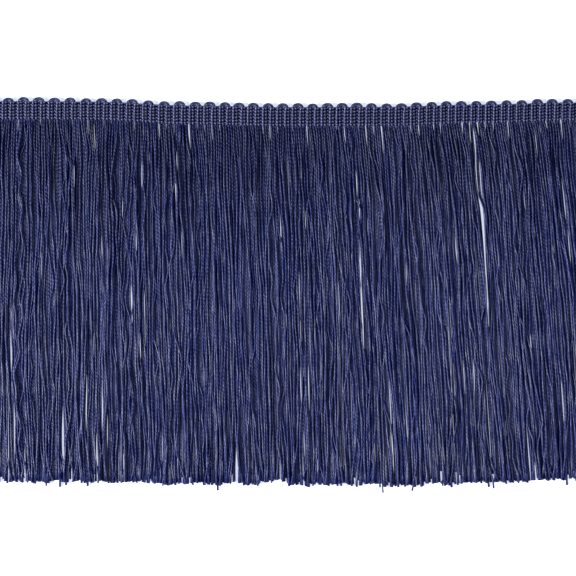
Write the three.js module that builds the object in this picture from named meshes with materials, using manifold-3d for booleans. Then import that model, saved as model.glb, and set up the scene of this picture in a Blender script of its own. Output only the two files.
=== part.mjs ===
// A cut length of fringe trim lying flat on its back, in millimetres, +Z up.
// The heading runs along X. Its yarn loops point to +Y and the cut strands to -Y.
// One yarn goes up and down through the heading: a round loop at the top edge, two legs,
// then the strands. Rows of stitching thread along the heading lock the legs together.
import * as THREE from 'three';
import Module from 'manifold-3d';

// Heading
const loopPitch = 5.85;        // one yarn loop to the next
const loopCount = 40;
const loopWidth = 4.28;        // outside width of a yarn loop
const loopRise = 1.7;          // how far a loop stands above the heading's straight edge
const headingHeight = 8.4;     // loop top to the heading's lower edge, where it is lowest
const legThickness = 2.4;      // thickness over a yarn leg
const grooveThickness = 2.0;   // thickness between two legs
const rimThickness = 1.2;      // thickness at the loops' outer edge
const rimInset = 0.6;          // how far in from that edge a loop reaches its full thickness
const headingLength = loopPitch * loopCount;
const headingEnd = headingLength / 2;
const legPlace = loopPitch / 4;  // a leg's middle, from the middle of its loop

// Stitching thread
const rowCount = 6;
const rowPitch = 1.19;
const rowWidth = 0.55;
const rowThickness = 0.4;
const firstRow = 2.05;         // the uppermost row, below the loop tops
const rowSteps = 24;
const pieceGap = 0.3;          // clear space between the thread and the yarn

// Strands, in two layers that lie one on the other
const strandsPerLoop = 3;      // in each layer
const strandWidth = 1.3;
const strandThickness = 0.75;
const rootDepth = 1.2;         // length of a strand that is fused into the heading
const strandStations = [0, 0.12, 0.4, 0.7, 1];  // share of the length at each section
const layers = [
  { base: 0, offset: 0.25 },
  { base: strandThickness + pieceGap, offset: 0.75 },
];
const swaySize = 0.5;          // slow sideways wave of neighbouring strands
const swayLength = 47;
const strayShift = 0.1;        // how far a single strand departs from its neighbours
const tipRaggedness = 1.1;     // uneven cut, either way
const longTipShare = 0.05;     // share of the strands that missed the cut
const longTipExtra = 2.0;

// How the trim lies, from its left end to its right end. Sag is how far the heading dips
// below its highest point, stretch its height there as a share of headingHeight, tips how far
// below that point the strands end, and lean how far the tips stand to the right of their roots.
const lay = [
  { x: -120, sag: 0.2, stretch: 1.01, tips: 149.0, lean: -4.5 },
  { x: -100, sag: 0.2, stretch: 1.01, tips: 149.2, lean: 0.0 },
  { x: -75, sag: 0.4, stretch: 1.02, tips: 149.2, lean: 1.0 },
  { x: -37, sag: 1.9, stretch: 1.05, tips: 150.2, lean: 3.5 },
  { x: 0, sag: 2.5, stretch: 1.07, tips: 150.7, lean: 4.5 },
  { x: 37, sag: 2.4, stretch: 1.06, tips: 150.9, lean: 8.5 },
  { x: 75, sag: 1.5, stretch: 1.04, tips: 149.3, lean: 11.5 },
  { x: 112, sag: 0.7, stretch: 1.01, tips: 147.8, lean: 12.0 },
  { x: 120, sag: 0.5, stretch: 1.0, tips: 147.6, lean: 11.5 },
];

// Where the strands part and the surface below shows: the parting's middle, its two ends
// below the heading's highest point, and its width.
const partings = [
  { x: -108, from: 86, to: 136, width: 1.3 },
  { x: -87, from: 122, to: 150, width: 1.2 },
  { x: -73, from: 106, to: 150, width: 1.3 },
  { x: -60, from: 68, to: 88, width: 1.0 },
  { x: 7, from: 104, to: 124, width: 1.5 },
  { x: 28, from: 60, to: 96, width: 1.1 },
  { x: 76, from: 38, to: 92, width: 1.6 },
  { x: 92, from: 132, to: 150, width: 1.4 },
];
const partingReach = 5;        // how far to each side a parting pushes the strands

const yarnNavy = new THREE.MeshStandardMaterial({ color: 0x3a3f68, roughness: 0.7, metalness: 0 });
const threadNavy = new THREE.MeshStandardMaterial({ color: 0x4a4f78, roughness: 0.55, metalness: 0 });

// Repeatable numbers from 0 to 1
let randomState = 20417;
function random() {
  randomState = (randomState * 16807) % 2147483647;
  return randomState / 2147483647;
}

// A column of the lay table at a place along the heading
function layAt(x, column) {
  const next = Math.max(1, lay.findIndex((row) => row.x >= x));
  const share = THREE.MathUtils.smoothstep(x, lay[next - 1].x, lay[next].x);
  return THREE.MathUtils.lerp(lay[next - 1][column], lay[next][column], share);
}

// How far the partings push a strand sideways at a place along its length
function partedBy(x, y) {
  let push = 0;
  for (const { x: middle, from, to, width } of partings) {
    const along = (-y - from) / (to - from);
    const away = x - middle;
    if (along <= 0 || along >= 1 || Math.abs(away) >= partingReach) continue;
    const fade = 1 - Math.abs(away) / partingReach;
    push += Math.sign(away) * (width / 2) * fade * Math.sin(Math.PI * along);
  }
  return push;
}

// A closed body through sections that all have the same number of points, listed
// clockwise as seen from the last section
function loft(sections) {
  const sides = sections[0].length;
  const points = sections.flat();
  const faces = [];
  for (let section = 0; section < sections.length - 1; section += 1) {
    for (let side = 0; side < sides; side += 1) {
      const here = section * sides + side;
      const beside = section * sides + ((side + 1) % sides);
      faces.push(here, here + sides, beside, beside, here + sides, beside + sides);
    }
  }
  const lastSection = points.length - sides;
  for (let side = 1; side < sides - 1; side += 1) {
    faces.push(0, side, side + 1);
    faces.push(lastSection, lastSection + side + 1, lastSection + side);
  }
  const geometry = new THREE.BufferGeometry().setFromPoints(points);
  geometry.setIndex(faces);
  return geometry;
}

const wasm = await Module();
wasm.setup();

function toSolid(geometry) {
  return new wasm.Manifold(new wasm.Mesh({
    numProp: 3,
    vertProperties: new Float32Array(geometry.getAttribute('position').array),
    triVerts: new Uint32Array(geometry.index.array),
  }));
}

function toGeometry(solid) {
  const mesh = solid.getMesh();
  const geometry = new THREE.BufferGeometry();
  geometry.setAttribute('position', new THREE.BufferAttribute(mesh.vertProperties, mesh.numProp));
  geometry.setIndex(new THREE.BufferAttribute(mesh.triVerts, 1));
  return geometry;
}

const headingTop = (x) => -layAt(x, 'sag');
const headingFoot = (x) => headingTop(x) - headingHeight * layAt(x, 'stretch');

// One section across the heading. Rise is the share of a full loop that stands above the
// straight edge there, and body the thickness of the yarn lower down.
function headingSection(x, rise, body) {
  const edge = headingTop(x) - loopRise * (1 - rise);
  const foot = headingFoot(x);
  const shoulder = edge - rimInset;
  const shoulderThickness = THREE.MathUtils.lerp(grooveThickness, legThickness, Math.sqrt(rise));
  return [
    new THREE.Vector3(x, foot, 0),
    new THREE.Vector3(x, foot, body),
    new THREE.Vector3(x, shoulder, shoulderThickness),
    new THREE.Vector3(x, edge, rimThickness),
    new THREE.Vector3(x, edge, 0),
  ];
}

// The yarn body of the heading: a row of loops with two legs each, and grooves between
function makeHeading() {
  const halfWidth = loopWidth / 2;
  const roundRise = (away) => Math.sqrt(Math.max(0, 1 - (away / halfWidth) ** 2));
  const innerEdge = legPlace / 2;
  const across = [
    { away: -halfWidth, body: grooveThickness },
    { away: -legPlace, body: legThickness },
    { away: -innerEdge, body: legThickness },
    { away: 0, body: grooveThickness },
    { away: innerEdge, body: legThickness },
    { away: legPlace, body: legThickness },
    { away: halfWidth, body: grooveThickness },
  ];
  const sections = [headingSection(-headingEnd, 0, grooveThickness)];
  for (let loop = 0; loop < loopCount; loop += 1) {
    const middle = -headingEnd + (loop + 0.5) * loopPitch;
    for (const { away, body } of across) {
      sections.push(headingSection(middle + away, roundRise(away), body));
    }
  }
  sections.push(headingSection(headingEnd, 0, grooveThickness));
  return loft(sections);
}

// One strand of a layer: three sides, flat below, from inside the heading to its cut tip
function makeStrand(rootX, layer) {
  const rootY = headingFoot(rootX) + rootDepth;
  const missedCut = random() < longTipShare ? longTipExtra * random() : 0;
  const tipY = -layAt(rootX, 'tips') + tipRaggedness * (2 * random() - 1) - missedCut;
  const stray = strayShift * (2 * random() - 1);
  const lean = layAt(rootX, 'lean');
  const sections = strandStations.map((share) => {
    const y = THREE.MathUtils.lerp(rootY, tipY, share);
    const sway = swaySize * Math.sin((2 * Math.PI * rootX) / swayLength);
    const leaned = rootX + lean * share ** 0.9 + sway * Math.sin(Math.PI * share);
    const x = leaned + stray * Math.sqrt(share) + partedBy(leaned, y);
    return [
      new THREE.Vector3(x - strandWidth / 2, y, layer.base),
      new THREE.Vector3(x, y, layer.base + strandThickness),
      new THREE.Vector3(x + strandWidth / 2, y, layer.base),
    ];
  });
  return loft(sections);
}

// Heading and strands as the one run of yarn that they are
function makeFringe() {
  const strandPitch = loopPitch / strandsPerLoop;
  let yarn = toSolid(makeHeading());
  for (const layer of layers) {
    for (let strand = 0; strand < loopCount * strandsPerLoop; strand += 1) {
      const rootX = -headingEnd + (strand + layer.offset) * strandPitch;
      yarn = yarn.add(toSolid(makeStrand(rootX, layer)));
    }
  }
  const fringe = new THREE.Mesh(toGeometry(yarn), yarnNavy);
  fringe.name = 'fringe';
  return fringe;
}

// One row of stitching thread, laid over the legs along the heading
function makeStitchRow(row) {
  const under = legThickness + pieceGap;
  const over = under + rowThickness;
  const sections = [];
  for (let step = 0; step <= rowSteps; step += 1) {
    const x = -headingEnd + (headingLength * step) / rowSteps;
    const y = headingTop(x) - (firstRow + row * rowPitch) * layAt(x, 'stretch');
    sections.push([
      new THREE.Vector3(x, y - rowWidth / 2, under),
      new THREE.Vector3(x, y - rowWidth / 2, over),
      new THREE.Vector3(x, y + rowWidth / 2, over),
      new THREE.Vector3(x, y + rowWidth / 2, under),
    ]);
  }
  const thread = new THREE.Mesh(loft(sections), threadNavy);
  thread.name = `stitch_row_${row + 1}`;
  return thread;
}

// The origin is the middle of the trim's outline, on the surface that it lies on
const trim = new THREE.Group();
trim.add(makeFringe());
for (let row = 0; row < rowCount; row += 1) {
  trim.add(makeStitchRow(row));
}
const middle = new THREE.Box3().setFromObject(trim).getCenter(new THREE.Vector3());
for (const piece of trim.children) {
  piece.position.set(-middle.x, -middle.y, 0);
}

export default trim;
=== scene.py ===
import bpy
import numpy as np
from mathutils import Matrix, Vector


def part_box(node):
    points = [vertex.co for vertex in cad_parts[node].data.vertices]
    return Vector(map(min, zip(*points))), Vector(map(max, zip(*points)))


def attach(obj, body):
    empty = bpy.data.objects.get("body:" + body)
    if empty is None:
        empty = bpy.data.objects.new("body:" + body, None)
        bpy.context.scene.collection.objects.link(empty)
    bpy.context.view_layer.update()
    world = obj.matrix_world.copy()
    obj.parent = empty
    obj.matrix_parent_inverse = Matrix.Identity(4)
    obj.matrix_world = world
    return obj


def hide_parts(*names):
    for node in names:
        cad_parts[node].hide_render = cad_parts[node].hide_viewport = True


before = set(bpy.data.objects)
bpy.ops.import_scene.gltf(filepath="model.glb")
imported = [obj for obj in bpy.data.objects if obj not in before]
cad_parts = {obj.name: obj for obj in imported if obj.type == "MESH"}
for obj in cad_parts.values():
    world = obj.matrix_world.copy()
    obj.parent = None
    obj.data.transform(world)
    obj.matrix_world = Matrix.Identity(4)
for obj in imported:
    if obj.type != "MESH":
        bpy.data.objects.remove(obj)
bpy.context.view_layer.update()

mm = 0.001
dice = np.random.default_rng(seed=411)

# How the trim lies. Places along the heading are from its middle, sag and tips are below its highest
# point, and lean is how far the tips stand to the right of their roots.
lay = {
    "x": np.array([-120, -100, -75, -37, 0, 37, 75, 112, 120]) * mm,
    "sag": np.array([0.2, 0.2, 0.4, 1.9, 2.5, 2.4, 1.5, 0.7, 0.5]) * mm,
    "stretch": np.array([1.01, 1.01, 1.02, 1.05, 1.07, 1.06, 1.04, 1.01, 1.0]),   # of the heading's height
    "tips": np.array([149.0, 149.2, 149.2, 150.2, 150.7, 150.9, 149.3, 147.8, 147.6]) * mm,
    "lean": np.array([-4.5, 0.0, 1.0, 3.5, 4.5, 8.5, 11.5, 12.0, 11.5]) * mm,
    "slip": np.array([-0.2, -0.1, 0.9, 2.3, 1.2, 0.6, 0.2, 0.6, 0.5]) * mm,   # of the loops, to the right
}
rowLow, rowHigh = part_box("stitch_row_1")
headingLength = rowHigh.x - rowLow.x
headingMiddle = (rowLow.x + rowHigh.x) / 2
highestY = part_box("fringe")[1].y + lay["sag"].min()
origin = np.array([headingMiddle, highestY, 0])


def softStep(x):
    x = np.clip(x, 0, 1)
    return x * x * (3 - 2 * x)


def ease(at, places, values):   # from each place's value to the next in soft steps
    after = np.clip(np.searchsorted(places, at), 1, len(places) - 1)
    share = (at - places[after - 1]) / (places[after] - places[after - 1])
    return values[after - 1] + (values[after] - values[after - 1]) * softStep(share)


def layAt(x, column):
    return ease(x, lay["x"], lay[column])


def spread(size, *shape):   # random numbers either way
    return size * dice.uniform(-1, 1, shape)


# Rings of points round each course, carried along it without twisting
def tubePoints(paths, radii, sides):
    run = np.gradient(paths, axis=1)
    run /= np.linalg.norm(run, axis=2, keepdims=True)
    across = np.cross(np.array([0, 0, 1.0]), run)
    for point in range(paths.shape[1]):
        if point > 0:
            before = across[:, point - 1]
            along = (before * run[:, point]).sum(axis=1, keepdims=True)
            across[:, point] = before - run[:, point] * along
        across[:, point] /= np.linalg.norm(across[:, point], axis=1, keepdims=True)
    upward = np.cross(run, across)
    turn = np.arange(sides) / sides * 2 * np.pi
    ring = (across[:, :, None, :] * np.cos(turn)[None, None, :, None]
            + upward[:, :, None, :] * np.sin(turn)[None, None, :, None])
    return paths[:, :, None, :] + ring * radii[:, :, None, None]


# Corners of the walls between the rings, and of the caps on both ends
def tubeFaces(tubeCount, pointCount, sides):
    tube = np.arange(tubeCount)[:, None, None] * pointCount * sides
    step = np.arange(pointCount - 1)[None, :, None] * sides
    side = np.arange(sides)[None, None, :]
    beside = (side + 1) % sides
    walls = np.stack([tube + step + side, tube + step + beside,
                      tube + step + sides + beside, tube + step + sides + side], axis=-1)
    firstCaps = tube + side[:, :, ::-1]
    lastCaps = tube + (pointCount - 1) * sides + side
    return walls.reshape(-1, 4), np.concatenate([firstCaps, lastCaps]).reshape(-1, sides)


# Two maps of those corners: alongYarn runs round each tube and along it in metres,
# OFBake gives each tube a strip of its own.
bakeStrip = {
    "margin": 0.02,           # share of its width left free on each side
    "capInset": 0.001,        # where a cap has its place, from the strip's end
}


def tubeMaps(paths, sides):
    tubeCount, pointCount, _ = paths.shape
    wallShape = (tubeCount, pointCount - 1, sides, 4)
    length = np.zeros((tubeCount, pointCount))
    length[:, 1:] = np.cumsum(np.linalg.norm(np.diff(paths, axis=1), axis=2), axis=1)
    longest = length.max()
    side = np.arange(sides)
    around = np.broadcast_to(np.stack([side, side + 1, side + 1, side], axis=-1) / sides, wallShape)
    along = np.stack([length[:, :-1], length[:, :-1], length[:, 1:], length[:, 1:]], axis=-1)
    along = np.broadcast_to(along[:, :, None, :], wallShape)
    tube = np.arange(tubeCount)
    filled = bakeStrip["margin"] + (1 - 2 * bakeStrip["margin"]) * around
    strip = (tube[:, None, None, None] + filled) / tubeCount

    capCorners = tubeCount * sides
    capAlong = np.repeat([0, longest], capCorners)
    capStrip = np.tile(np.repeat((tube + 0.5) / tubeCount, sides), 2)
    capHeight = np.repeat([bakeStrip["capInset"], 1 - bakeStrip["capInset"]], capCorners)
    alongYarn = [np.stack([around, along], axis=-1).reshape(-1, 2),
                 np.stack([np.zeros_like(capAlong), capAlong], axis=-1)]
    ownStrip = [np.stack([strip, along / longest], axis=-1).reshape(-1, 2),
                np.stack([capStrip, capHeight], axis=-1)]
    return {"alongYarn": np.concatenate(alongYarn), "OFBake": np.concatenate(ownStrip)}


# A row of tubes that all have the same number of points, as one mesh
def makeTubes(name, paths, radii, sides, material, paler=0):
    tubeCount, pointCount, _ = paths.shape
    walls, caps = tubeFaces(tubeCount, pointCount, sides)
    corners = np.concatenate([walls.ravel(), caps.ravel()])
    cornerCounts = np.repeat([4, sides], [len(walls), len(caps)])
    mesh = bpy.data.meshes.new(name)
    mesh.vertices.add(tubeCount * pointCount * sides)
    mesh.loops.add(len(corners))
    mesh.polygons.add(len(cornerCounts))
    mesh.vertices.foreach_set("co", tubePoints(paths, radii, sides).ravel().astype(np.float32))
    mesh.loops.foreach_set("vertex_index", corners.astype(np.int32))
    mesh.polygons.foreach_set("loop_start", (np.cumsum(cornerCounts) - cornerCounts).astype(np.int32))
    mesh.polygons.foreach_set("loop_total", cornerCounts.astype(np.int32))
    mesh.polygons.foreach_set("use_smooth", np.repeat([True, False], [len(walls), len(caps)]))
    mesh.update(calc_edges=True)
    for mapName, places in tubeMaps(paths, sides).items():
        layer = mesh.uv_layers.new(name=mapName, do_init=False)
        layer.uv.foreach_set("vector", places.ravel().astype(np.float32))
    tones = np.repeat(dice.random(tubeCount), pointCount)
    palerThere = np.broadcast_to(paler, (tubeCount, pointCount)).ravel()
    for attributeName, values in (("tone", tones), ("paler", palerThere)):
        attribute = mesh.attributes.new(attributeName, "FLOAT", "POINT")
        attribute.data.foreach_set("value", np.repeat(values, sides).astype(np.float32))
    mesh.materials.append(material)

    piece = bpy.data.objects.new(name, mesh)
    bpy.context.scene.collection.objects.link(piece)
    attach(piece, "root")
    print(name, tubeCount, "tubes", 2 * len(walls) + (sides - 2) * len(caps), "triangles")
    return piece


# Camera, straight above, with the heading level across the picture
view = {
    "width": 224 * mm,        # of the surface, across the picture
    "right": 0.3 * mm,        # of the heading's middle
    "below": 74.3 * mm,       # the heading's highest point
    "lens": 100,
    "sensor": 36,
    "nearest": 10 * mm,       # that the camera shows
}
camera = bpy.data.objects.new("camera", bpy.data.cameras.new("camera"))
camera.data.lens = view["lens"]
camera.data.sensor_width = view["sensor"]
camera.data.clip_start = view["nearest"]
camera.location = (headingMiddle + view["right"], highestY - view["below"],
                   view["width"] * view["lens"] / view["sensor"])
bpy.context.scene.collection.objects.link(camera)
bpy.context.scene.camera = camera
print("camera", tuple(camera.location))


# Nodes, each with what feeds it: another node's output, or a fixed number or colour
def feed(tree, socket, value):
    if isinstance(value, bpy.types.NodeSocket):
        tree.links.new(value, socket)
    else:
        socket.default_value = value


def addMath(tree, operation, *values, kind="ShaderNodeMath"):
    node = tree.nodes.new(kind)
    node.operation = operation
    for socket, value in zip(node.inputs, values):
        feed(tree, socket, value)
    return node.outputs[0]


def addVectorMath(tree, operation, *values):
    return addMath(tree, operation, *values, kind="ShaderNodeVectorMath")


def addVector(tree, *values):
    node = tree.nodes.new("ShaderNodeCombineXYZ")
    for socket, value in zip(node.inputs, values):
        feed(tree, socket, value)
    return node.outputs[0]


def addRange(tree, value, fromEnds=(0, 1), toEnds=(0, 1)):
    node = tree.nodes.new("ShaderNodeMapRange")
    sockets = ("Value", "From Min", "From Max", "To Min", "To Max")
    for socket, given in zip(sockets, (value, *fromEnds, *toEnds)):
        feed(tree, node.inputs[socket], given)
    return node.outputs["Result"]


def addNoise(tree, place, detail):   # the place is already to scale
    node = tree.nodes.new("ShaderNodeTexNoise")
    node.inputs["Scale"].default_value = 1
    node.inputs["Detail"].default_value = detail
    tree.links.new(place, node.inputs["Vector"])
    return node.outputs["Fac"]


def addAttribute(tree, name):
    node = tree.nodes.new("ShaderNodeAttribute")
    node.attribute_name = name
    return node.outputs["Fac"]


def addYarnPlace(tree):   # X is the share of the way round, Y is along the yarn in metres
    node = tree.nodes.new("ShaderNodeUVMap")
    node.uv_map = "alongYarn"
    return node.outputs["UV"]


def addGroup(tree, group, socket, value):
    node = tree.nodes.new("ShaderNodeGroup")
    node.node_tree = group
    node.inputs[socket].default_value = value
    return node.outputs


def newGroup(name, takes, gives):
    tree = bpy.data.node_groups.new(name, "ShaderNodeTree")
    for socket in takes:
        tree.interface.new_socket(socket, in_out="INPUT", socket_type="NodeSocketFloat")
    for socket in gives:
        tree.interface.new_socket(socket, in_out="OUTPUT", socket_type="NodeSocketFloat")
    return tree, tree.nodes.new("NodeGroupInput").outputs, tree.nodes.new("NodeGroupOutput").inputs


# Plies twisted into one yarn: height is the plies' round backs, groove the line between them, where the
# colour is painted darker as painted shade
twistForm = {"plies": 2, "grooveBelow": 0.60}   # the groove begins at this share of a ply's height


def plyTwistGroup():
    tree, taken, given = newGroup("plyTwist", ["Turns Per Metre"], ["Height", "Groove Shade"])
    split = tree.nodes.new("ShaderNodeSeparateXYZ")
    tree.links.new(addYarnPlace(tree), split.inputs[0])
    turns = addMath(tree, "MULTIPLY_ADD", split.outputs["Y"], taken["Turns Per Metre"],
                    split.outputs["X"])   # along the yarn in turns, plus the share of the way round
    angle = addMath(tree, "MULTIPLY", turns, np.pi * twistForm["plies"])   # half a wave for each ply
    back = addMath(tree, "ABSOLUTE", addMath(tree, "SINE", angle))
    tree.links.new(back, given["Height"])
    tree.links.new(addRange(tree, back, fromEnds=(twistForm["grooveBelow"], 0)), given["Groove Shade"])
    return tree


# Fine fibres that lie along the yarn, slow changes of tone, and lustrous stretches on dull yarn
fibreForm = {
    "yarnsApart": 97,         # each yarn reads the noise at a place of its own
    "round": 5,               # changes of the fibres, round the yarn
    "fibreDetail": 2,
    "tonesPerMetre": 520,
    "ownTone": 0.25,          # share of the tone that a yarn keeps all along
    "slowDetail": 1,          # of the tone and the lustre
    "stretchesPerMetre": 150,
    "lustreApart": 1.7,       # times yarnsApart, so that the lustre doesn't follow the tone
    "lustrous": (0.46, 0.68),   # noise where the yarn begins to be lustrous, and where it is fully so
}


def fibreGroup():
    tree, taken, given = newGroup("fibre", ["Fibres Per Metre"], ["Fibre", "Tone", "Lustre"])
    own = addAttribute(tree, "tone")
    shift = addVector(tree, 0, 0, addMath(tree, "MULTIPLY", own, fibreForm["yarnsApart"]))
    place = addVectorMath(tree, "MULTIPLY_ADD", addYarnPlace(tree), (fibreForm["round"], 1, 1), shift)
    fineScale = addVector(tree, 1, taken["Fibres Per Metre"], 1)
    fine = addVectorMath(tree, "MULTIPLY", place, fineScale)
    tree.links.new(addNoise(tree, fine, fibreForm["fibreDetail"]), given["Fibre"])

    slow = addVectorMath(tree, "MULTIPLY", place, (0, fibreForm["tonesPerMetre"], 1))
    change = addNoise(tree, slow, fibreForm["slowDetail"])
    changing = addMath(tree, "MULTIPLY", change, 1 - fibreForm["ownTone"])
    tone = addMath(tree, "MULTIPLY_ADD", own, fibreForm["ownTone"], changing)
    tree.links.new(tone, given["Tone"])

    lustreScale = (0, fibreForm["stretchesPerMetre"], fibreForm["lustreApart"])
    shine = addNoise(tree, addVectorMath(tree, "MULTIPLY", place, lustreScale), fibreForm["slowDetail"])
    tree.links.new(addRange(tree, shine, fromEnds=fibreForm["lustrous"]), given["Lustre"])
    return tree


plyTwist = plyTwistGroup()
fibre = fibreGroup()
toneEnds = (0.39, 0.61)       # tones that have a finish's dark and light colours


# A plied yarn or thread: a colour for each tone, painted darker in the twist's grooves as painted shade,
# with a soft lustre.
# A finish lists only the effects that it has, and under surface what is the same all over.
def plyMaterial(finish):
    material = bpy.data.materials.new(finish["name"])
    material.use_nodes = True
    tree = material.node_tree
    surface = tree.nodes["Principled BSDF"].inputs
    twist = addGroup(tree, plyTwist, "Turns Per Metre", finish["turnsPerMetre"])
    fibres = addGroup(tree, fibre, "Fibres Per Metre", finish["fibresPerMetre"])
    paler = addAttribute(tree, "paler")

    tones = tree.nodes.new("ShaderNodeValToRGB")
    for end, position, name in zip(tones.color_ramp.elements, toneEnds, ("dark", "light")):
        end.position = position
        end.color = (*finish[name], 1)
    tree.links.new(fibres["Tone"], tones.inputs["Fac"])
    # painted shade: the colour is mixed towards a darker groove colour along the twist's grooves
    grooveShading = tree.nodes.new("ShaderNodeMix")
    grooveShading.data_type = "RGBA"
    feed(tree, grooveShading.inputs["Factor"], addMath(tree, "MULTIPLY", twist["Groove Shade"], finish["grooveShadeShare"]))
    feed(tree, grooveShading.inputs["A"], tones.outputs["Color"])
    feed(tree, grooveShading.inputs["B"], (*finish["grooveShade"], 1))
    colour = grooveShading.outputs["Result"]
    if "palerBy" in finish:
        times = addMath(tree, "MULTIPLY_ADD", paler, finish["palerBy"], 1)
        colour = addVectorMath(tree, "MULTIPLY", colour, times)
    tree.links.new(colour, surface["Base Color"])
    tree.links.new(addRange(tree, fibres["Fibre"], toEnds=finish["roughness"]), surface["Roughness"])

    bump = tree.nodes.new("ShaderNodeBump")   # the plies' backs, with the fibres on them
    bump.inputs["Strength"].default_value = finish["bumpStrength"]
    bump.inputs["Distance"].default_value = finish["plyHeight"]
    relief = addMath(tree, "MULTIPLY_ADD", fibres["Fibre"], finish["fibreHeight"], twist["Height"])
    tree.links.new(relief, bump.inputs["Height"])
    tree.links.new(bump.outputs["Normal"], surface["Normal"])

    if "lustre" in finish:   # half of it lies on the plies' backs alone
        half = finish["lustre"] / 2
        onBacks = addMath(tree, "MULTIPLY_ADD", twist["Height"], half, half)
        lustre = addMath(tree, "MULTIPLY", fibres["Lustre"], onBacks)
        gain = addMath(tree, "MULTIPLY_ADD", paler, finish["lustreGain"], 1 - finish["lustreGain"])
        gain.node.use_clamp = True
        tree.links.new(addMath(tree, "MULTIPLY", lustre, gain), surface["Coat Weight"])
    if "tautGloss" in finish:
        tree.links.new(addMath(tree, "MULTIPLY", paler, finish["tautGloss"]), surface["Coat Weight"])
    for socket, value in finish["surface"].items():
        surface[socket].default_value = value
    return material


yarnNavy = plyMaterial({
    "name": "yarn_navy",
    "dark": (0.006, 0.010, 0.058),
    "light": (0.025, 0.030, 0.078),
    "palerBy": 0.59,          # of the colour, towards the cut ends
    # painted shade in the twist's grooves: its colour, and how far it darkens them
    "grooveShade": (0.001, 0.003, 0.030),
    "grooveShadeShare": 0.85,
    "turnsPerMetre": 330,
    "fibresPerMetre": 900,
    "fibreHeight": 0.35,      # share of a ply's height
    "plyHeight": 0.14 * mm,
    "bumpStrength": 0.8,
    "roughness": (0.28, 0.42),
    "lustre": 0.62,
    "lustreGain": 0.35,       # share of it that comes only as the yarn turns paler
    "surface": {
        "Specular IOR Level": 0.19,
        "Specular Tint": (0.70, 0.76, 1.0, 1),   # a lustre of its own colour
        "Coat Roughness": 0.30,
    },
})
loopNavy = plyMaterial({      # the same yarn drawn tight, so smoother; its colours, lighter than the strands', are painted highlight
    "name": "loop_yarn_navy",
    "dark": (0.021, 0.024, 0.085),
    "light": (0.029, 0.034, 0.122),
    "palerBy": 0.30,          # painted highlight: paler where it lies taut over the stitching and catches the light
    # painted shade in the twist's grooves: its colour, and how far it darkens them
    "grooveShade": (0.008, 0.011, 0.048),
    "grooveShadeShare": 0.3,
    "turnsPerMetre": 330,
    "fibresPerMetre": 900,
    "fibreHeight": 0.25,
    "plyHeight": 0.05 * mm,
    "bumpStrength": 0.3,
    "roughness": (0.50, 0.60),
    "tautGloss": 0.60,        # there too
    "surface": {"Specular IOR Level": 0.65, "Coat Roughness": 0.30},
})
threadNavy = plyMaterial({
    "name": "thread_navy",
    "dark": (0.064, 0.072, 0.155),
    "light": (0.118, 0.130, 0.265),
    # painted shade in the twist's grooves: its colour, and how far it darkens them
    "grooveShade": (0.025, 0.028, 0.065),
    "grooveShadeShare": 0.5,
    "turnsPerMetre": 900,
    "fibresPerMetre": 2500,
    "fibreHeight": 0.3,
    "plyHeight": 0.05 * mm,
    "bumpStrength": 0.6,
    "roughness": (0.35, 0.55),
    "surface": {
        "Specular IOR Level": 0.5,
        "Sheen Weight": 0.05,
        "Sheen Roughness": 0.4,
        "Sheen Tint": (0.85, 0.87, 1.0, 1),
    },
})
print("materials", [material.name for material in (yarnNavy, loopNavy, threadNavy)])


# Heading: two yarns in front make each loop, one inside the other. Below the loop one leg of
# each lies over the stitching and one under it, and both turn back round the lower edge.
stitchRow = {"count": 6, "first": 2.0 * mm, "pitch": 1.19 * mm}   # below the loop tops, before stretching
heading = {
    "loops": 40,
    "yarn": 0.78 * mm,
    "sides": 10,
    "height": 8.4 * mm,         # loop top to lower edge, before it is stretched
    "outerReach": 2.10 * mm,    # of the outer yarn's legs, from the loop's middle
    "innerReach": 0.88 * mm,
    "outerArch": 1.96 * mm,     # the same where the loop's round top begins
    "innerArch": 1.18 * mm,
    "archRise": 0.85,           # of the round top, as a share of its half width
    "waistLength": 1.1 * mm,    # below that the legs go over to their own reach
    "overZ": 1.75 * mm,
    "underZ": 1.00 * mm,
    "swellZ": 0.14 * mm,        # a leg over the stitching swells at each row
    "swell": 0.18,              # share of its thickness
    "topZ": 1.15 * mm,          # the loops' tops, bent down a little
    "turnRadius": 0.36 * mm,    # round the lower edge
    "turnShare": 0.9,           # of a half turn
    "shiftEach": 0.14 * mm,     # unevenness from loop to loop
    "riseEach": 0.18 * mm,
    "widthEach": 0.08,
    "legSteps": 24,
    "archSteps": 15,
    "turnSteps": 5,
}
loopPitch = headingLength / heading["loops"]
loopPlace = (np.arange(heading["loops"]) + 0.5) * loopPitch - headingLength / 2
loopMiddle = loopPlace + layAt(loopPlace, "slip") + spread(heading["shiftEach"], heading["loops"])
loopTop = -layAt(loopMiddle, "sag") - heading["yarn"] / 2 + spread(heading["riseEach"], heading["loops"])
loopWider = 1 + spread(heading["widthEach"], heading["loops"])
legPlaces = {
    "outerLeft": loopMiddle - heading["outerReach"] * loopWider,
    "innerLeft": loopMiddle - heading["innerReach"] * loopWider,
    "innerRight": loopMiddle + heading["innerReach"] * loopWider,
    "outerRight": loopMiddle + heading["outerReach"] * loopWider,
}
overLegs = np.sort(np.concatenate([legPlaces["outerLeft"], legPlaces["innerRight"]]))
underLegs = np.sort(np.concatenate([legPlaces["innerLeft"], legPlaces["outerRight"]]))


def headingFoot(x):
    return -layAt(x, "sag") - heading["height"] * layAt(x, "stretch")


def rowsBelowFirst(x, y):
    return ((-y - layAt(x, "sag")) / layAt(x, "stretch") - stitchRow["first"]) / stitchRow["pitch"]


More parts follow.
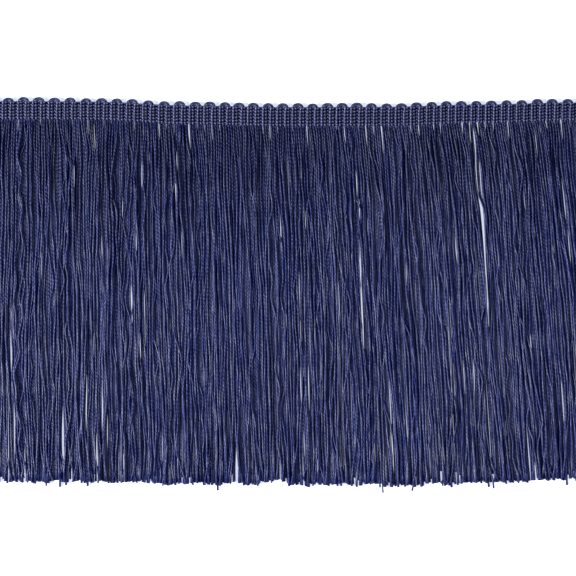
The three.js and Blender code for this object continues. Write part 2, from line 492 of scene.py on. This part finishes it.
# Up one leg, over the loop and down the other leg, with a turn below each leg
def loopCourse(reach, waist, leftZ, rightZ):
    foot = headingFoot(loopMiddle) + heading["yarn"] / 2
    spring = loopTop - heading["archRise"] * heading["outerArch"] * loopWider   # where the round top begins
    rise = heading["archRise"] * waist[:, None]
    arch = np.linspace(0, np.pi, heading["archSteps"] + 2)[None, 1:-1]
    turn = np.linspace(0, heading["turnShare"] * np.pi, heading["turnSteps"] + 1)[None, 1:]
    legs = np.linspace(0, 1, heading["legSteps"] + 1)[None, :]
    legY = foot[:, None] + (spring - foot)[:, None] * legs
    drawnIn = np.exp((legY - spring[:, None]) / heading["waistLength"])
    legReach = reach[:, None] + (waist - reach)[:, None] * drawnIn
    turnY = foot[:, None] - heading["turnRadius"] * np.sin(turn)
    turnReach = np.repeat(legReach[:, :1], heading["turnSteps"], axis=1)
    turnDrop = np.broadcast_to(heading["turnRadius"] * (1 - np.cos(turn)), turnY.shape)

    across = [-turnReach[:, ::-1], -legReach, -waist[:, None] * np.cos(arch), legReach[:, ::-1], turnReach]
    alongY = [turnY[:, ::-1], legY, spring[:, None] + rise * np.sin(arch), legY[:, ::-1], turnY]
    rightShare = (1 - np.cos(arch)) / 2
    flatZ = leftZ + (rightZ - leftZ) * rightShare
    archZ = flatZ + (heading["topZ"] - flatZ) * np.sin(arch) ** 2
    alongZ = [leftZ - turnDrop[:, ::-1], np.full_like(legY, leftZ), np.repeat(archZ, len(reach), axis=0),
              np.full_like(legY, rightZ), rightZ - turnDrop]
    x = np.concatenate(across, axis=1) + loopMiddle[:, None]
    return np.stack([x, np.concatenate(alongY, axis=1), np.concatenate(alongZ, axis=1)], axis=-1)


outerLoops = loopCourse(heading["outerReach"] * loopWider, heading["outerArch"] * loopWider,
                        heading["overZ"], heading["underZ"])
innerLoops = loopCourse(heading["innerReach"] * loopWider, heading["innerArch"] * loopWider,
                        heading["underZ"], heading["overZ"])
loopPaths = np.concatenate([outerLoops, innerLoops])
# Along a loop, from the leg over the stitching to the leg under it: its share of the yarn's full
# thickness, and how taut it is drawn
loopRun = {
    "place": np.array([0, 0.38, 0.46, 0.54, 0.62, 1]),
    "thick": np.array([0.84, 0.84, 1, 1, 0.80, 0.80]),
    "taut": np.array([1, 1, 0, 0, 0, 0]),
}


def alongLoops(column):   # the inner loops run the other way
    along = ease(np.linspace(0, 1, loopPaths.shape[1]), loopRun["place"], loopRun[column])
    return np.repeat(np.stack([along, along[::-1]]), heading["loops"], axis=0)


taut = alongLoops("taut")
swelling = taut * np.cos(2 * np.pi * rowsBelowFirst(loopPaths[..., 0], loopPaths[..., 1]))
loopPaths[..., 2] += heading["swellZ"] * swelling
loopRadii = heading["yarn"] / 2 * alongLoops("thick") * (1 + heading["swell"] * swelling)
# painted highlight: the taut legs over the stitching get the loop finish's paler colour
loops = makeTubes("heading_loops", loopPaths + origin, loopRadii, heading["sides"], loopNavy,
                  paler=taut)
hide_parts("fringe")

# Yarns that run along behind the loops and close the heading's upper edge between them
edgeYarn = {
    "below": (1.54 * mm, 2.24 * mm),   # the loop tops, behind each loop
    "dip": 0.34 * mm,                  # lower still, between two loops
    "yarn": 0.74 * mm,
    "z": 0.40 * mm,
    "sides": 8,
    "steps": 480,
}
edgeX = np.linspace(-headingLength / 2, headingLength / 2, edgeYarn["steps"])
loopsPassed = np.interp(edgeX, loopMiddle, np.arange(heading["loops"]))
edgeY = -layAt(edgeX, "sag") - edgeYarn["dip"] * np.sin(np.pi * loopsPassed) ** 2
edgePaths = np.stack([np.stack([edgeX, edgeY - below, np.full_like(edgeX, edgeYarn["z"])], axis=-1)
                      for below in edgeYarn["below"]]) + origin
edgeRadii = np.full(edgePaths.shape[:2], edgeYarn["yarn"] / 2)
edge = makeTubes("heading_edge", edgePaths, edgeRadii, edgeYarn["sides"], yarnNavy)
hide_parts("fringe")


# Strands: hairpins of yarn behind the loops, whose legs go on below the heading. A lower layer
# lies evenly on the surface, and the upper strands lie loosely on it and across each other.
strand = {
    "yarn": (0.76 * mm, 0.62 * mm),     # in the lower and the upper layer
    "thickEach": 0.08,        # share by which single yarns are thicker or thinner
    "sides": 7,
    "pinsPerLoop": (5, 3),
    "layerZ": (0.36 * mm, 0.62 * mm),   # inside the heading
    "pinTop": 2.15 * mm,      # below the loop tops
    "legSteps": 4,
    "archSteps": 5,
    "stations": 58,
    "stationPower": 1.25,     # stations lie closer together near the heading
    "smoothing": 3,           # times, along a strand
    "pieces": 4,              # that the hairpins are shared out to
    "rootUneven": 0.22 * mm,  # in the upper strands' spacing inside the heading
    "settle": 14 * mm,        # over this length the strands take up their own courses
    "settleZ": 2.5 * mm,      # and their own heights
    "leanPower": 0.8,
    "sway": 0.5 * mm,         # slow sideways wave of all neighbours together
    "swayLength": 47 * mm,
    "lowerShare": 0.06,       # of the upper strands' wandering that the lower ones have
    "uneven": 0.28 * mm,      # in the upper strands' spacing below the heading
    "wander": 0.30 * mm,      # of a single strand, in waves of wanderLength
    "wanderLength": 85 * mm,
    "wanderPower": 0.42,      # longer waves are wider, and shorter ones narrower
    "wanderWaves": (14 * mm, 24 * mm, 45 * mm, 85 * mm, 160 * mm),
    "waveShare": (0.2, 1),    # of its full width that each wave has
    "strayShare": 0.17,       # strands that wander further and cross their neighbours
    "strayTimes": 3.6,
    "bundleWander": 0.40 * mm,
    "bundleWaves": (80 * mm, 150 * mm),
    "touch": 0.54 * mm,       # a strand rests on the one below at this distance
    "upperRank": 2,           # the upper strands are laid after the lower ones
    "rankSwing": 0.4,         # but neighbours change places, above and below each other
    "rankLength": 26 * mm,    # over this length
    "palerFrom": 0.02,        # share of the length where a strand begins to turn paler
    "palerTo": 0.55,
    "lowerPaintedShade": -0.3,       # painted shade: the lower strands are darker by this share of that change, where the upper ones lie over them
    "bundlePaler": 0.28,      # and bundles of neighbours are darker and paler in turn
    "bundleLength": 110 * mm,
}
# Cut ends: tufts of strands that lean together, with notches between them
cutEnd = {
    "tuft": (2.6 * mm, 5.6 * mm),
    "tufts": 200,             # more than the trim's length holds
    "drawn": (0.00, 0.22),    # share by which a tuft draws together
    "lowerShare": 0.25,       # of that and of the splay, for the lower strands
    "from": (0.66, 0.92),     # share of the length where the ends begin to part
    "splay": 0.8 * mm,        # sideways bend of single ends
    "wildShare": 0.50,
    "wildSplay": 3.8 * mm,
    "ragged": 0.62 * mm,      # uneven cut of single strands, either way
    "tuftRagged": 0.5 * mm,
    "missedShare": 0.04,      # strands that the cut left longer
    "missedExtra": 2.4 * mm,
    "shortShare": 0.08,
    "shortBy": 4.0 * mm,
    "shortTuftShare": 0.20,
    "shortTuftBy": 1.2 * mm,
    "fray": 0.25,             # share by which a yarn is thicker at its cut end
    "frayPoints": 2,          # over which it comes down to its own thickness
}
# Partings where the surface shows, in mm: the middle along the heading, both ends below its highest
# point, the clear width, and how far the parting slants
partings = [
    {"x": 77.0, "top": 40, "end": 90, "clear": 0.24, "slant": 2.0},
    {"x": 73.5, "top": 11, "end": 41, "clear": 0.12, "slant": 2.0},
    {"x": 28.8, "top": 52, "end": 102, "clear": 0.40, "slant": 2.0},
    {"x": -107.3, "top": 87, "end": 109, "clear": 0.34, "slant": 0.5},
    {"x": -106.0, "top": 117, "end": 137, "clear": 0.30, "slant": 0.5},
    {"x": -87.2, "top": 123, "end": 147, "clear": 0.58, "slant": 0.5},
    {"x": -71.8, "top": 108, "end": 133, "clear": 0.35, "slant": 0.5},
    {"x": -73.8, "top": 131, "end": 147, "clear": 0.30, "slant": 1.0},
    {"x": -78.0, "top": 109, "end": 127, "clear": 0.30, "slant": -1.0},
    {"x": 8.2, "top": 104, "end": 122, "clear": 0.35, "slant": 0.8},
    {"x": 5.5, "top": 105, "end": 120, "clear": 0.32, "slant": 0.8},
    {"x": -60.5, "top": 70, "end": 87, "clear": 0.40, "slant": 0.5},
    {"x": -55.6, "top": 76, "end": 86, "clear": 0.35, "slant": 0.3},
    {"x": -57.0, "top": 92, "end": 103, "clear": 0.44, "slant": 0.3},
    {"x": 94.0, "top": 133, "end": 147, "clear": 0.36, "slant": 0.8},
    {"x": 94.8, "top": 90, "end": 104, "clear": 0.15, "slant": 0.8},
    {"x": 72.5, "top": 98, "end": 117, "clear": 0.20, "slant": 1.0},
    {"x": 68.8, "top": 104, "end": 114, "clear": 0.20, "slant": 0.5},
    {"x": 65.5, "top": 53, "end": 65, "clear": 0.28, "slant": 0.5},
    {"x": 107.0, "top": 108, "end": 128, "clear": 0.10, "slant": 1.5},
    {"x": 40.0, "top": 110, "end": 128, "clear": 0.25, "slant": 1.0},
    {"x": 40.9, "top": 130, "end": 144, "clear": 0.42, "slant": 0.6},
    {"x": 46.5, "top": 122, "end": 134, "clear": 0.12, "slant": 1.2},
    {"x": 34.0, "top": 130, "end": 144, "clear": 0.15, "slant": 0.5},
    {"x": 26.0, "top": 129, "end": 139, "clear": 0.20, "slant": 0.5},
    {"x": 6.6, "top": 130, "end": 141, "clear": 0.25, "slant": 1.0},
    {"x": -48.6, "top": 131, "end": 142, "clear": 0.20, "slant": 0.4},
    {"x": -63.5, "top": 136, "end": 149, "clear": 0.32, "slant": 0.8},
    {"x": -70.0, "top": 123, "end": 136, "clear": 0.38, "slant": 0.4},
    {"x": -83.8, "top": 140, "end": 150, "clear": 0.27, "slant": 1.0},
    {"x": 74.9, "top": 24, "end": 41, "clear": 0.22, "slant": 0.9},
    {"x": 27.0, "top": 29, "end": 38, "clear": 0.30, "slant": 0.2},
    {"x": 28.0, "top": 40, "end": 47, "clear": 0.34, "slant": 0.3},
    {"x": 37.0, "top": 9, "end": 23, "clear": 0.08, "slant": 1.2},
    {"x": -43.0, "top": 21, "end": 28, "clear": 0.20, "slant": 0.3},
    {"x": -43.4, "top": 33, "end": 40, "clear": 0.52, "slant": 0.2},
    {"x": -38.0, "top": 8, "end": 21, "clear": 0.14, "slant": 0.8},
    {"x": -74.7, "top": 8, "end": 22, "clear": 0.26, "slant": 0.4},
    {"x": -56.5, "top": 27, "end": 36, "clear": 0.24, "slant": -0.5},
    {"x": -75.2, "top": 91, "end": 103, "clear": 0.18, "slant": 0.5},
    {"x": -72.1, "top": 51, "end": 64, "clear": 0.20, "slant": 0.4},
    {"x": -58.6, "top": 53, "end": 61, "clear": 0.38, "slant": 0.3},
    {"x": 20.1, "top": 70, "end": 87, "clear": 0.08, "slant": 0.4},
    {"x": 107.6, "top": 29, "end": 49, "clear": 0.04, "slant": 2.4},
    {"x": 96.6, "top": 8, "end": 25, "clear": 0.12, "slant": 2.0},
    {"x": 103.3, "top": 56, "end": 64, "clear": 0.46, "slant": 0.8},
    {"x": 5.2, "top": 85, "end": 99, "clear": 0.20, "slant": 0.4},
    {"x": 109.5, "top": 51, "end": 66, "clear": 0.08, "slant": 1.3},
    {"x": -19.7, "top": 139, "end": 160, "clear": 1.05, "slant": -0.8},
    {"x": -2.8, "top": 144, "end": 158, "clear": 0.45, "slant": -0.6},
    {"x": 96.8, "top": 143, "end": 156, "clear": 0.50, "slant": 0.4},
    {"x": -102.0, "top": 139, "end": 152, "clear": 0.30, "slant": 0.2},
    {"x": 4.7, "top": 65, "end": 84, "clear": 0.20, "slant": 0.4},
    {"x": 46.3, "top": 62, "end": 73, "clear": 0.30, "slant": 0.3},
]
partingForm = {
    "reach": 6 * mm,          # how far to each side strands make room
    "push": 1.5 * mm,         # the furthest that a strand is moved for a parting
    "endPower": 0.35,         # the smaller, the blunter its two ends
    "uneven": 0.35,           # share by which its width changes along it
    "unevenWaves": 2.2,       # in its length
    "wide": 0.19,             # in mm: partings wider than this move the stray strands too
}

# Small gaps below the heading, in mm, one under each leg that lies over the stitching
rootGap = {"left": 0.15, "above": 3, "clear": (-0.06, 0.13), "length": (1, 8)}
for leg in overLegs:
    x = leg - rootGap["left"] * mm
    foot = -headingFoot(x) / mm
    end = foot + dice.uniform(*rootGap["length"])
    clear = dice.uniform(*rootGap["clear"])
    partings.append({"x": x / mm, "top": foot - rootGap["above"], "end": end, "clear": clear, "slant": 0})

# Slight partings here and there, in mm, along the strands as they lean
slightGap = {"count": 30, "x": (-108, 108), "top": (18, 92), "length": (5, 12), "clear": (0.0, 0.12)}
gapDice = np.random.default_rng(seed=52)
for _ in range(slightGap["count"]):
    x, top, length, clear = (gapDice.uniform(*slightGap[name]) for name in ("x", "top", "length", "clear"))
    leaning = layAt(x * mm, "lean") / layAt(x * mm, "tips")
    partings.append({"x": x, "top": top, "end": top + length, "clear": clear, "slant": leaning * length})

# Two legs for each hairpin: where they stand and how high they lie
pinCounts = heading["loops"] * np.array(strand["pinsPerLoop"])
pinLegX = np.concatenate([(np.arange(2 * pins) + 0.5) * headingLength / (2 * pins) - headingLength / 2
                          for pins in pinCounts]).reshape(-1, 2)
pinLegX[pinCounts[0]:] += spread(strand["rootUneven"], pinCounts[1], 2)
pinMiddle = pinLegX.mean(axis=1)
pinLegZ = np.repeat(strand["layerZ"], pinCounts)
pinYarn = np.repeat(strand["yarn"], pinCounts)
pinTop = -layAt(pinMiddle, "sag") - strand["pinTop"] - pinYarn / 2


def smoothed(values):   # along each strand
    for _ in range(strand["smoothing"]):
        padded = np.pad(values, ((1, 1), (0, 0)), mode="edge")
        values = (padded[:-2] + 2 * padded[1:-1] + padded[2:]) / 4
    return values


# Each parting moves the strands near it away from its middle, those beside it the most
def parted(x, y, heeds):
    moved = np.zeros_like(x)
    for parting in partings:
        top, end = parting["top"] * mm, parting["end"] * mm
        level = np.abs(-y - (top + end) / 2).argmin(axis=0)
        away = np.take_along_axis(x, level[None, :], axis=0)[0] - parting["x"] * mm
        moves = heeds | (parting["clear"] > partingForm["wide"])
        near = np.flatnonzero((np.abs(away) < partingForm["reach"]) & moves)
        side = np.sign(away[near])
        nearest = np.where(side > 0, away[near][side > 0].min(), -away[near][side < 0].max())
        along = (-y[:, near] - top) / (end - top)
        middle = (parting["x"] + parting["slant"] * (along - 0.5)) * mm
        opened = np.clip(4 * along * (1 - along), 0, 1) ** partingForm["endPower"]
        waves = partingForm["unevenWaves"] * along + dice.random()
        width = 1 + partingForm["uneven"] * np.sin(2 * np.pi * waves)
        half = (parting["clear"] * mm * width + strand["yarn"][0]) / 2 * opened
        beside = side * (x[:, near] - middle)
        kept = half + np.clip(beside - nearest, 0, None) * (1 - half / partingForm["reach"])
        moved[:, near] += side * np.clip(kept - beside, 0, partingForm["push"]) * (opened > 0)
    return x + smoothed(moved)


# Laid one by one, each strand rests on the surface or on the strands below it
def laidHeights(x, y, isUpper):
    count = x.shape[1]
    onFloor = strand["yarn"][0] / 2
    rank = dice.random(count) + strand["upperRank"] * isUpper
    phase = dice.random(count)
    z = np.zeros_like(x)
    for station in range(len(x)):
        swing = np.sin(2 * np.pi * (y[station] / strand["rankLength"] + phase))
        order = np.argsort(rank + strand["rankSwing"] * swing)
        for number, now in enumerate(order):
            below = order[:number]
            gap = x[station, below] - x[station, now]
            near = np.abs(gap) < strand["touch"]
            rest = z[station, below[near]] + np.sqrt(strand["touch"] ** 2 - gap[near] ** 2)
            z[station, now] = max(onFloor, rest.max(initial=0))
    return np.maximum(smoothed(z), onFloor)


# Where each strand's end goes: to the side, and how much longer or shorter the cut left it
def cutEnds(tipX, isUpper):
    count = len(tipX)
    tufts = cutEnd["tufts"]
    middles = np.cumsum(dice.uniform(*cutEnd["tuft"], tufts)) + tipX.min() - cutEnd["tuft"][1]
    tuft = np.abs(tipX[:, None] - middles[None, :]).argmin(axis=1)
    aside = (middles[tuft] - tipX) * dice.uniform(*cutEnd["drawn"], tufts)[tuft]
    isWild = (dice.random(count) < cutEnd["wildShare"]) & isUpper
    aside += spread(np.where(isWild, cutEnd["wildSplay"], cutEnd["splay"]), count)
    longer = cutEnd["missedExtra"] * dice.random(count) * (dice.random(count) < cutEnd["missedShare"])
    shorter = cutEnd["shortBy"] * dice.random(count) * (dice.random(count) < cutEnd["shortShare"])
    tuftExtra = spread(cutEnd["tuftRagged"], tufts)
    tuftExtra -= cutEnd["shortTuftBy"] * dice.random(tufts) * (dice.random(tufts) < cutEnd["shortTuftShare"])
    extra = spread(cutEnd["ragged"], count) + tuftExtra[tuft] + longer - shorter
    return aside, extra


def strandCourses():
    rootX = pinLegX.reshape(-1)
    count = len(rootX)
    isUpper = np.repeat([False, True], 2 * pinCounts)
    isStray = dice.random(count) < strand["strayShare"] * isUpper
    loose = np.where(isUpper, 1, strand["lowerShare"])
    share = (np.linspace(0, 1, strand["stations"]) ** strand["stationPower"])[:, None]
    foot = headingFoot(rootX)
    lean = layAt(rootX, "lean")
    aside, extra = cutEnds(rootX + lean, isUpper)
    tip = -layAt(rootX, "tips") - extra
    y = foot + (tip - foot) * share
    free = softStep((foot - y) / strand["settle"])

    # Leaning and swaying together, then wandering one by one and in bundles
    x = rootX + lean * share ** strand["leanPower"]
    x = x + strand["sway"] * np.sin(2 * np.pi * rootX / strand["swayLength"]) * np.sin(np.pi * share)
    x = x + spread(strand["uneven"], count) * loose * free
    size = strand["wander"] * loose * np.where(isStray, strand["strayTimes"], 1)
    for waveLength in strand["wanderWaves"]:
        weight = (waveLength / strand["wanderLength"]) ** strand["wanderPower"]
        phase = dice.random(count)
        width = size * free * weight * dice.uniform(*strand["waveShare"], count)
        x = x + width * np.sin(2 * np.pi * (y / waveLength + phase))
    bundle = np.searchsorted(overLegs, rootX)
    for waveLength in strand["bundleWaves"]:
        phase = dice.random(len(overLegs) + 1)[bundle]
        x = x + strand["bundleWander"] * loose * free * np.sin(2 * np.pi * (y / waveLength + phase))
    bendFrom = dice.uniform(*cutEnd["from"], count)
    bent = np.clip((share - bendFrom) / (1 - bendFrom), 0, 1) ** 2
    x = parted(x + aside * np.where(isUpper, 1, cutEnd["lowerShare"]) * bent, y, ~isStray)

    rootZ = np.repeat(pinLegZ, 2)
    z = rootZ + (laidHeights(x, y, isUpper) - rootZ) * softStep((foot - y) / strand["settleZ"])
    print("strands", count, "highest", z.max() / mm)
    return np.stack([x, y, z], axis=-1).transpose(1, 0, 2).reshape(-1, 2, strand["stations"], 3)


# Up one leg, over the hairpin's round top and down the other leg
def pinCourses(feet):
    reach = (pinLegX[:, 1:] - pinLegX[:, :1]) / 2
    spring = pinTop[:, None] - reach
    legs = np.linspace(0, 1, strand["legSteps"] + 1)[None, 1:]
    arch = np.linspace(0, np.pi, strand["archSteps"] + 2)[None, 1:-1]
    legY = feet[:, :1, 1] + (spring - feet[:, :1, 1]) * legs
    legReach = np.repeat(reach, strand["legSteps"], axis=1)
    x = pinMiddle[:, None] + np.concatenate([-legReach, -reach * np.cos(arch), legReach], axis=1)
    y = np.concatenate([legY, spring + reach * np.sin(arch), legY[:, ::-1]], axis=1)
    z = np.repeat(pinLegZ[:, None], x.shape[1], axis=1)
    return np.stack([x, y, z], axis=-1)


courses = strandCourses()
yarnPaths = np.concatenate([courses[:, 0, ::-1], pinCourses(courses[:, :, 0]), courses[:, 1]], axis=1)
yarnPaths = yarnPaths + origin
fromStart = np.arange(yarnPaths.shape[1])
fromTip = np.minimum(fromStart, fromStart[::-1])   # in points
frayed = 1 + cutEnd["fray"] * np.clip(1 - fromTip / cutEnd["frayPoints"], 0, 1)
yarnRadii = pinYarn[:, None] / 2 * (1 + spread(strand["thickEach"], len(yarnPaths), 1)) * frayed
yarnPaths[..., 2] = np.maximum(yarnPaths[..., 2], yarnRadii)   # none dips below the surface
downStrand = 1 - np.clip(fromTip / strand["stations"], 0, 1)
yarnPaler = softStep((downStrand - strand["palerFrom"]) / (strand["palerTo"] - strand["palerFrom"]))
# painted shade on the lower strands, which lie under the upper ones
yarnPaler = yarnPaler + np.repeat([strand["lowerPaintedShade"], 0], pinCounts)[:, None]
pinBundle = np.searchsorted(overLegs, pinMiddle)
bundlePhase = dice.random(len(overLegs) + 1)[pinBundle][:, None]
bundleTurn = yarnPaths[..., 1] / strand["bundleLength"] + bundlePhase
yarnPaler = yarnPaler + strand["bundlePaler"] * np.sin(2 * np.pi * bundleTurn)
yarnOrder = np.argsort(pinLegX[:, 0])
for number, group in enumerate(np.array_split(yarnOrder, strand["pieces"])):
    piece = makeTubes(f"fringe_yarn_{number + 1}", yarnPaths[group], yarnRadii[group], strand["sides"],
                      yarnNavy, paler=yarnPaler[group])
    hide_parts("fringe")


# Stitching: two threads for each row, side by side. They lie over every second leg in a small knot
# and pass below the legs in between. Each gap's places are shares of the way across it, with the
# threads' height, their thickness and how far they rise towards the loops.
stitch = {
    "apart": 0.08 * mm,       # of the two threads, from the row's middle
    "knot": {"z": 1.80 * mm, "thick": 0.47 * mm},
    "below": {"z": 1.23 * mm, "thick": 0.24 * mm},
    "afterKnot": [
        {"share": 0.33, "z": 1.00 * mm, "thick": 0.20 * mm, "rise": 0.14 * mm},
        {"share": 0.60, "z": 1.50 * mm, "thick": 0.34 * mm, "rise": 0.34 * mm},
    ],
    "beforeKnot": [
        {"share": 0.50, "z": 1.10 * mm, "thick": 0.22 * mm, "rise": 0.10 * mm},
    ],
    "stepsPerLeg": 10,
    "sides": 5,
}


def stitchPath(row, side):
    ends = np.array([-headingLength / 2, headingLength / 2])
    legs = [(x, stitch["below"]) for x in [*ends, *overLegs]]
    legs += [(x, stitch["knot"]) for x in underLegs]
    legs.sort(key=lambda leg: leg[0])
    stations = []
    for (place, leg), (nextPlace, _) in zip(legs, legs[1:] + legs[-1:]):
        stations.append((place, leg["z"], leg["thick"], 0))
        gap = stitch["afterKnot"] if leg is stitch["knot"] else stitch["beforeKnot"]
        for at in gap if nextPlace > place else []:
            stations.append((place + at["share"] * (nextPlace - place), at["z"], at["thick"], at["rise"]))
    places, heights, thicknesses, rises = np.array(stations).T
    x = np.linspace(*ends, len(legs) * stitch["stepsPerLeg"])
    belowTop = (stitchRow["first"] + row * stitchRow["pitch"]) * layAt(x, "stretch")
    y = -layAt(x, "sag") - belowTop + side * stitch["apart"] + ease(x, places, rises)
    return np.stack([x, y, ease(x, places, heights)], axis=-1) + origin, ease(x, places, thicknesses) / 2


for row in range(stitchRow["count"]):
    threads = [stitchPath(row, side) for side in (1, -1)]
    paths = np.stack([path for path, _ in threads])
    radii = np.stack([radius for _, radius in threads])
    piece = makeTubes(f"stitch_thread_{row + 1}", paths, radii, stitch["sides"], threadNavy)
    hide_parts(f"stitch_row_{row + 1}")


# Floor, lit from below too, as a light table is
floorForm = {
    "size": 16.0,
    "colour": (0.82, 0.83, 0.88, 1),
    "roughness": 0.8,
    "glow": (0.86, 0.90, 1.0, 1),
    "glowStrength": 0.74,
}
half = floorForm["size"] / 2
floorCorners = [(-half, -half, 0), (half, -half, 0), (half, half, 0), (-half, half, 0)]
floor = bpy.data.objects.new("floor", bpy.data.meshes.new("floor"))
floor.data.from_pydata(floorCorners, [], [(0, 1, 2, 3)])
bpy.context.scene.collection.objects.link(floor)
floorWhite = bpy.data.materials.new("floor_white")
floorWhite.use_nodes = True
floorSurface = floorWhite.node_tree.nodes["Principled BSDF"].inputs
floorSurface["Base Color"].default_value = floorForm["colour"]
floorSurface["Roughness"].default_value = floorForm["roughness"]
floorSurface["Emission Color"].default_value = floorForm["glow"]
floorSurface["Emission Strength"].default_value = floorForm["glowStrength"]
floor.data.materials.append(floorWhite)

# Two soft lights, and a weak blue light from all round
softboxes = {
    "left_softbox": {"place": (-1.35, -0.30, 0.65), "size": 0.7, "power": 65.0},
    "right_softbox": {"place": (1.30, -0.30, 0.95), "size": 0.8, "power": 12.0},
}
allRound = {"Color": (0.22, 0.35, 1.0, 1), "Strength": 0.23}
for name, softbox in softboxes.items():
    lamp = bpy.data.objects.new(name, bpy.data.lights.new(name, "AREA"))
    lamp.data.size = softbox["size"]
    lamp.data.energy = softbox["power"]
    lamp.location = softbox["place"]
    lamp.rotation_mode = "QUATERNION"
    lamp.rotation_quaternion = (-Vector(softbox["place"])).to_track_quat("-Z", "Y")
    bpy.context.scene.collection.objects.link(lamp)
world = bpy.data.worlds.new("studio")
world.use_nodes = True
for socket, value in allRound.items():
    world.node_tree.nodes["Background"].inputs[socket].default_value = value
bpy.context.scene.world = world
bpy.context.scene.view_settings.view_transform = "Standard"
print("floor and lights", list(softboxes))
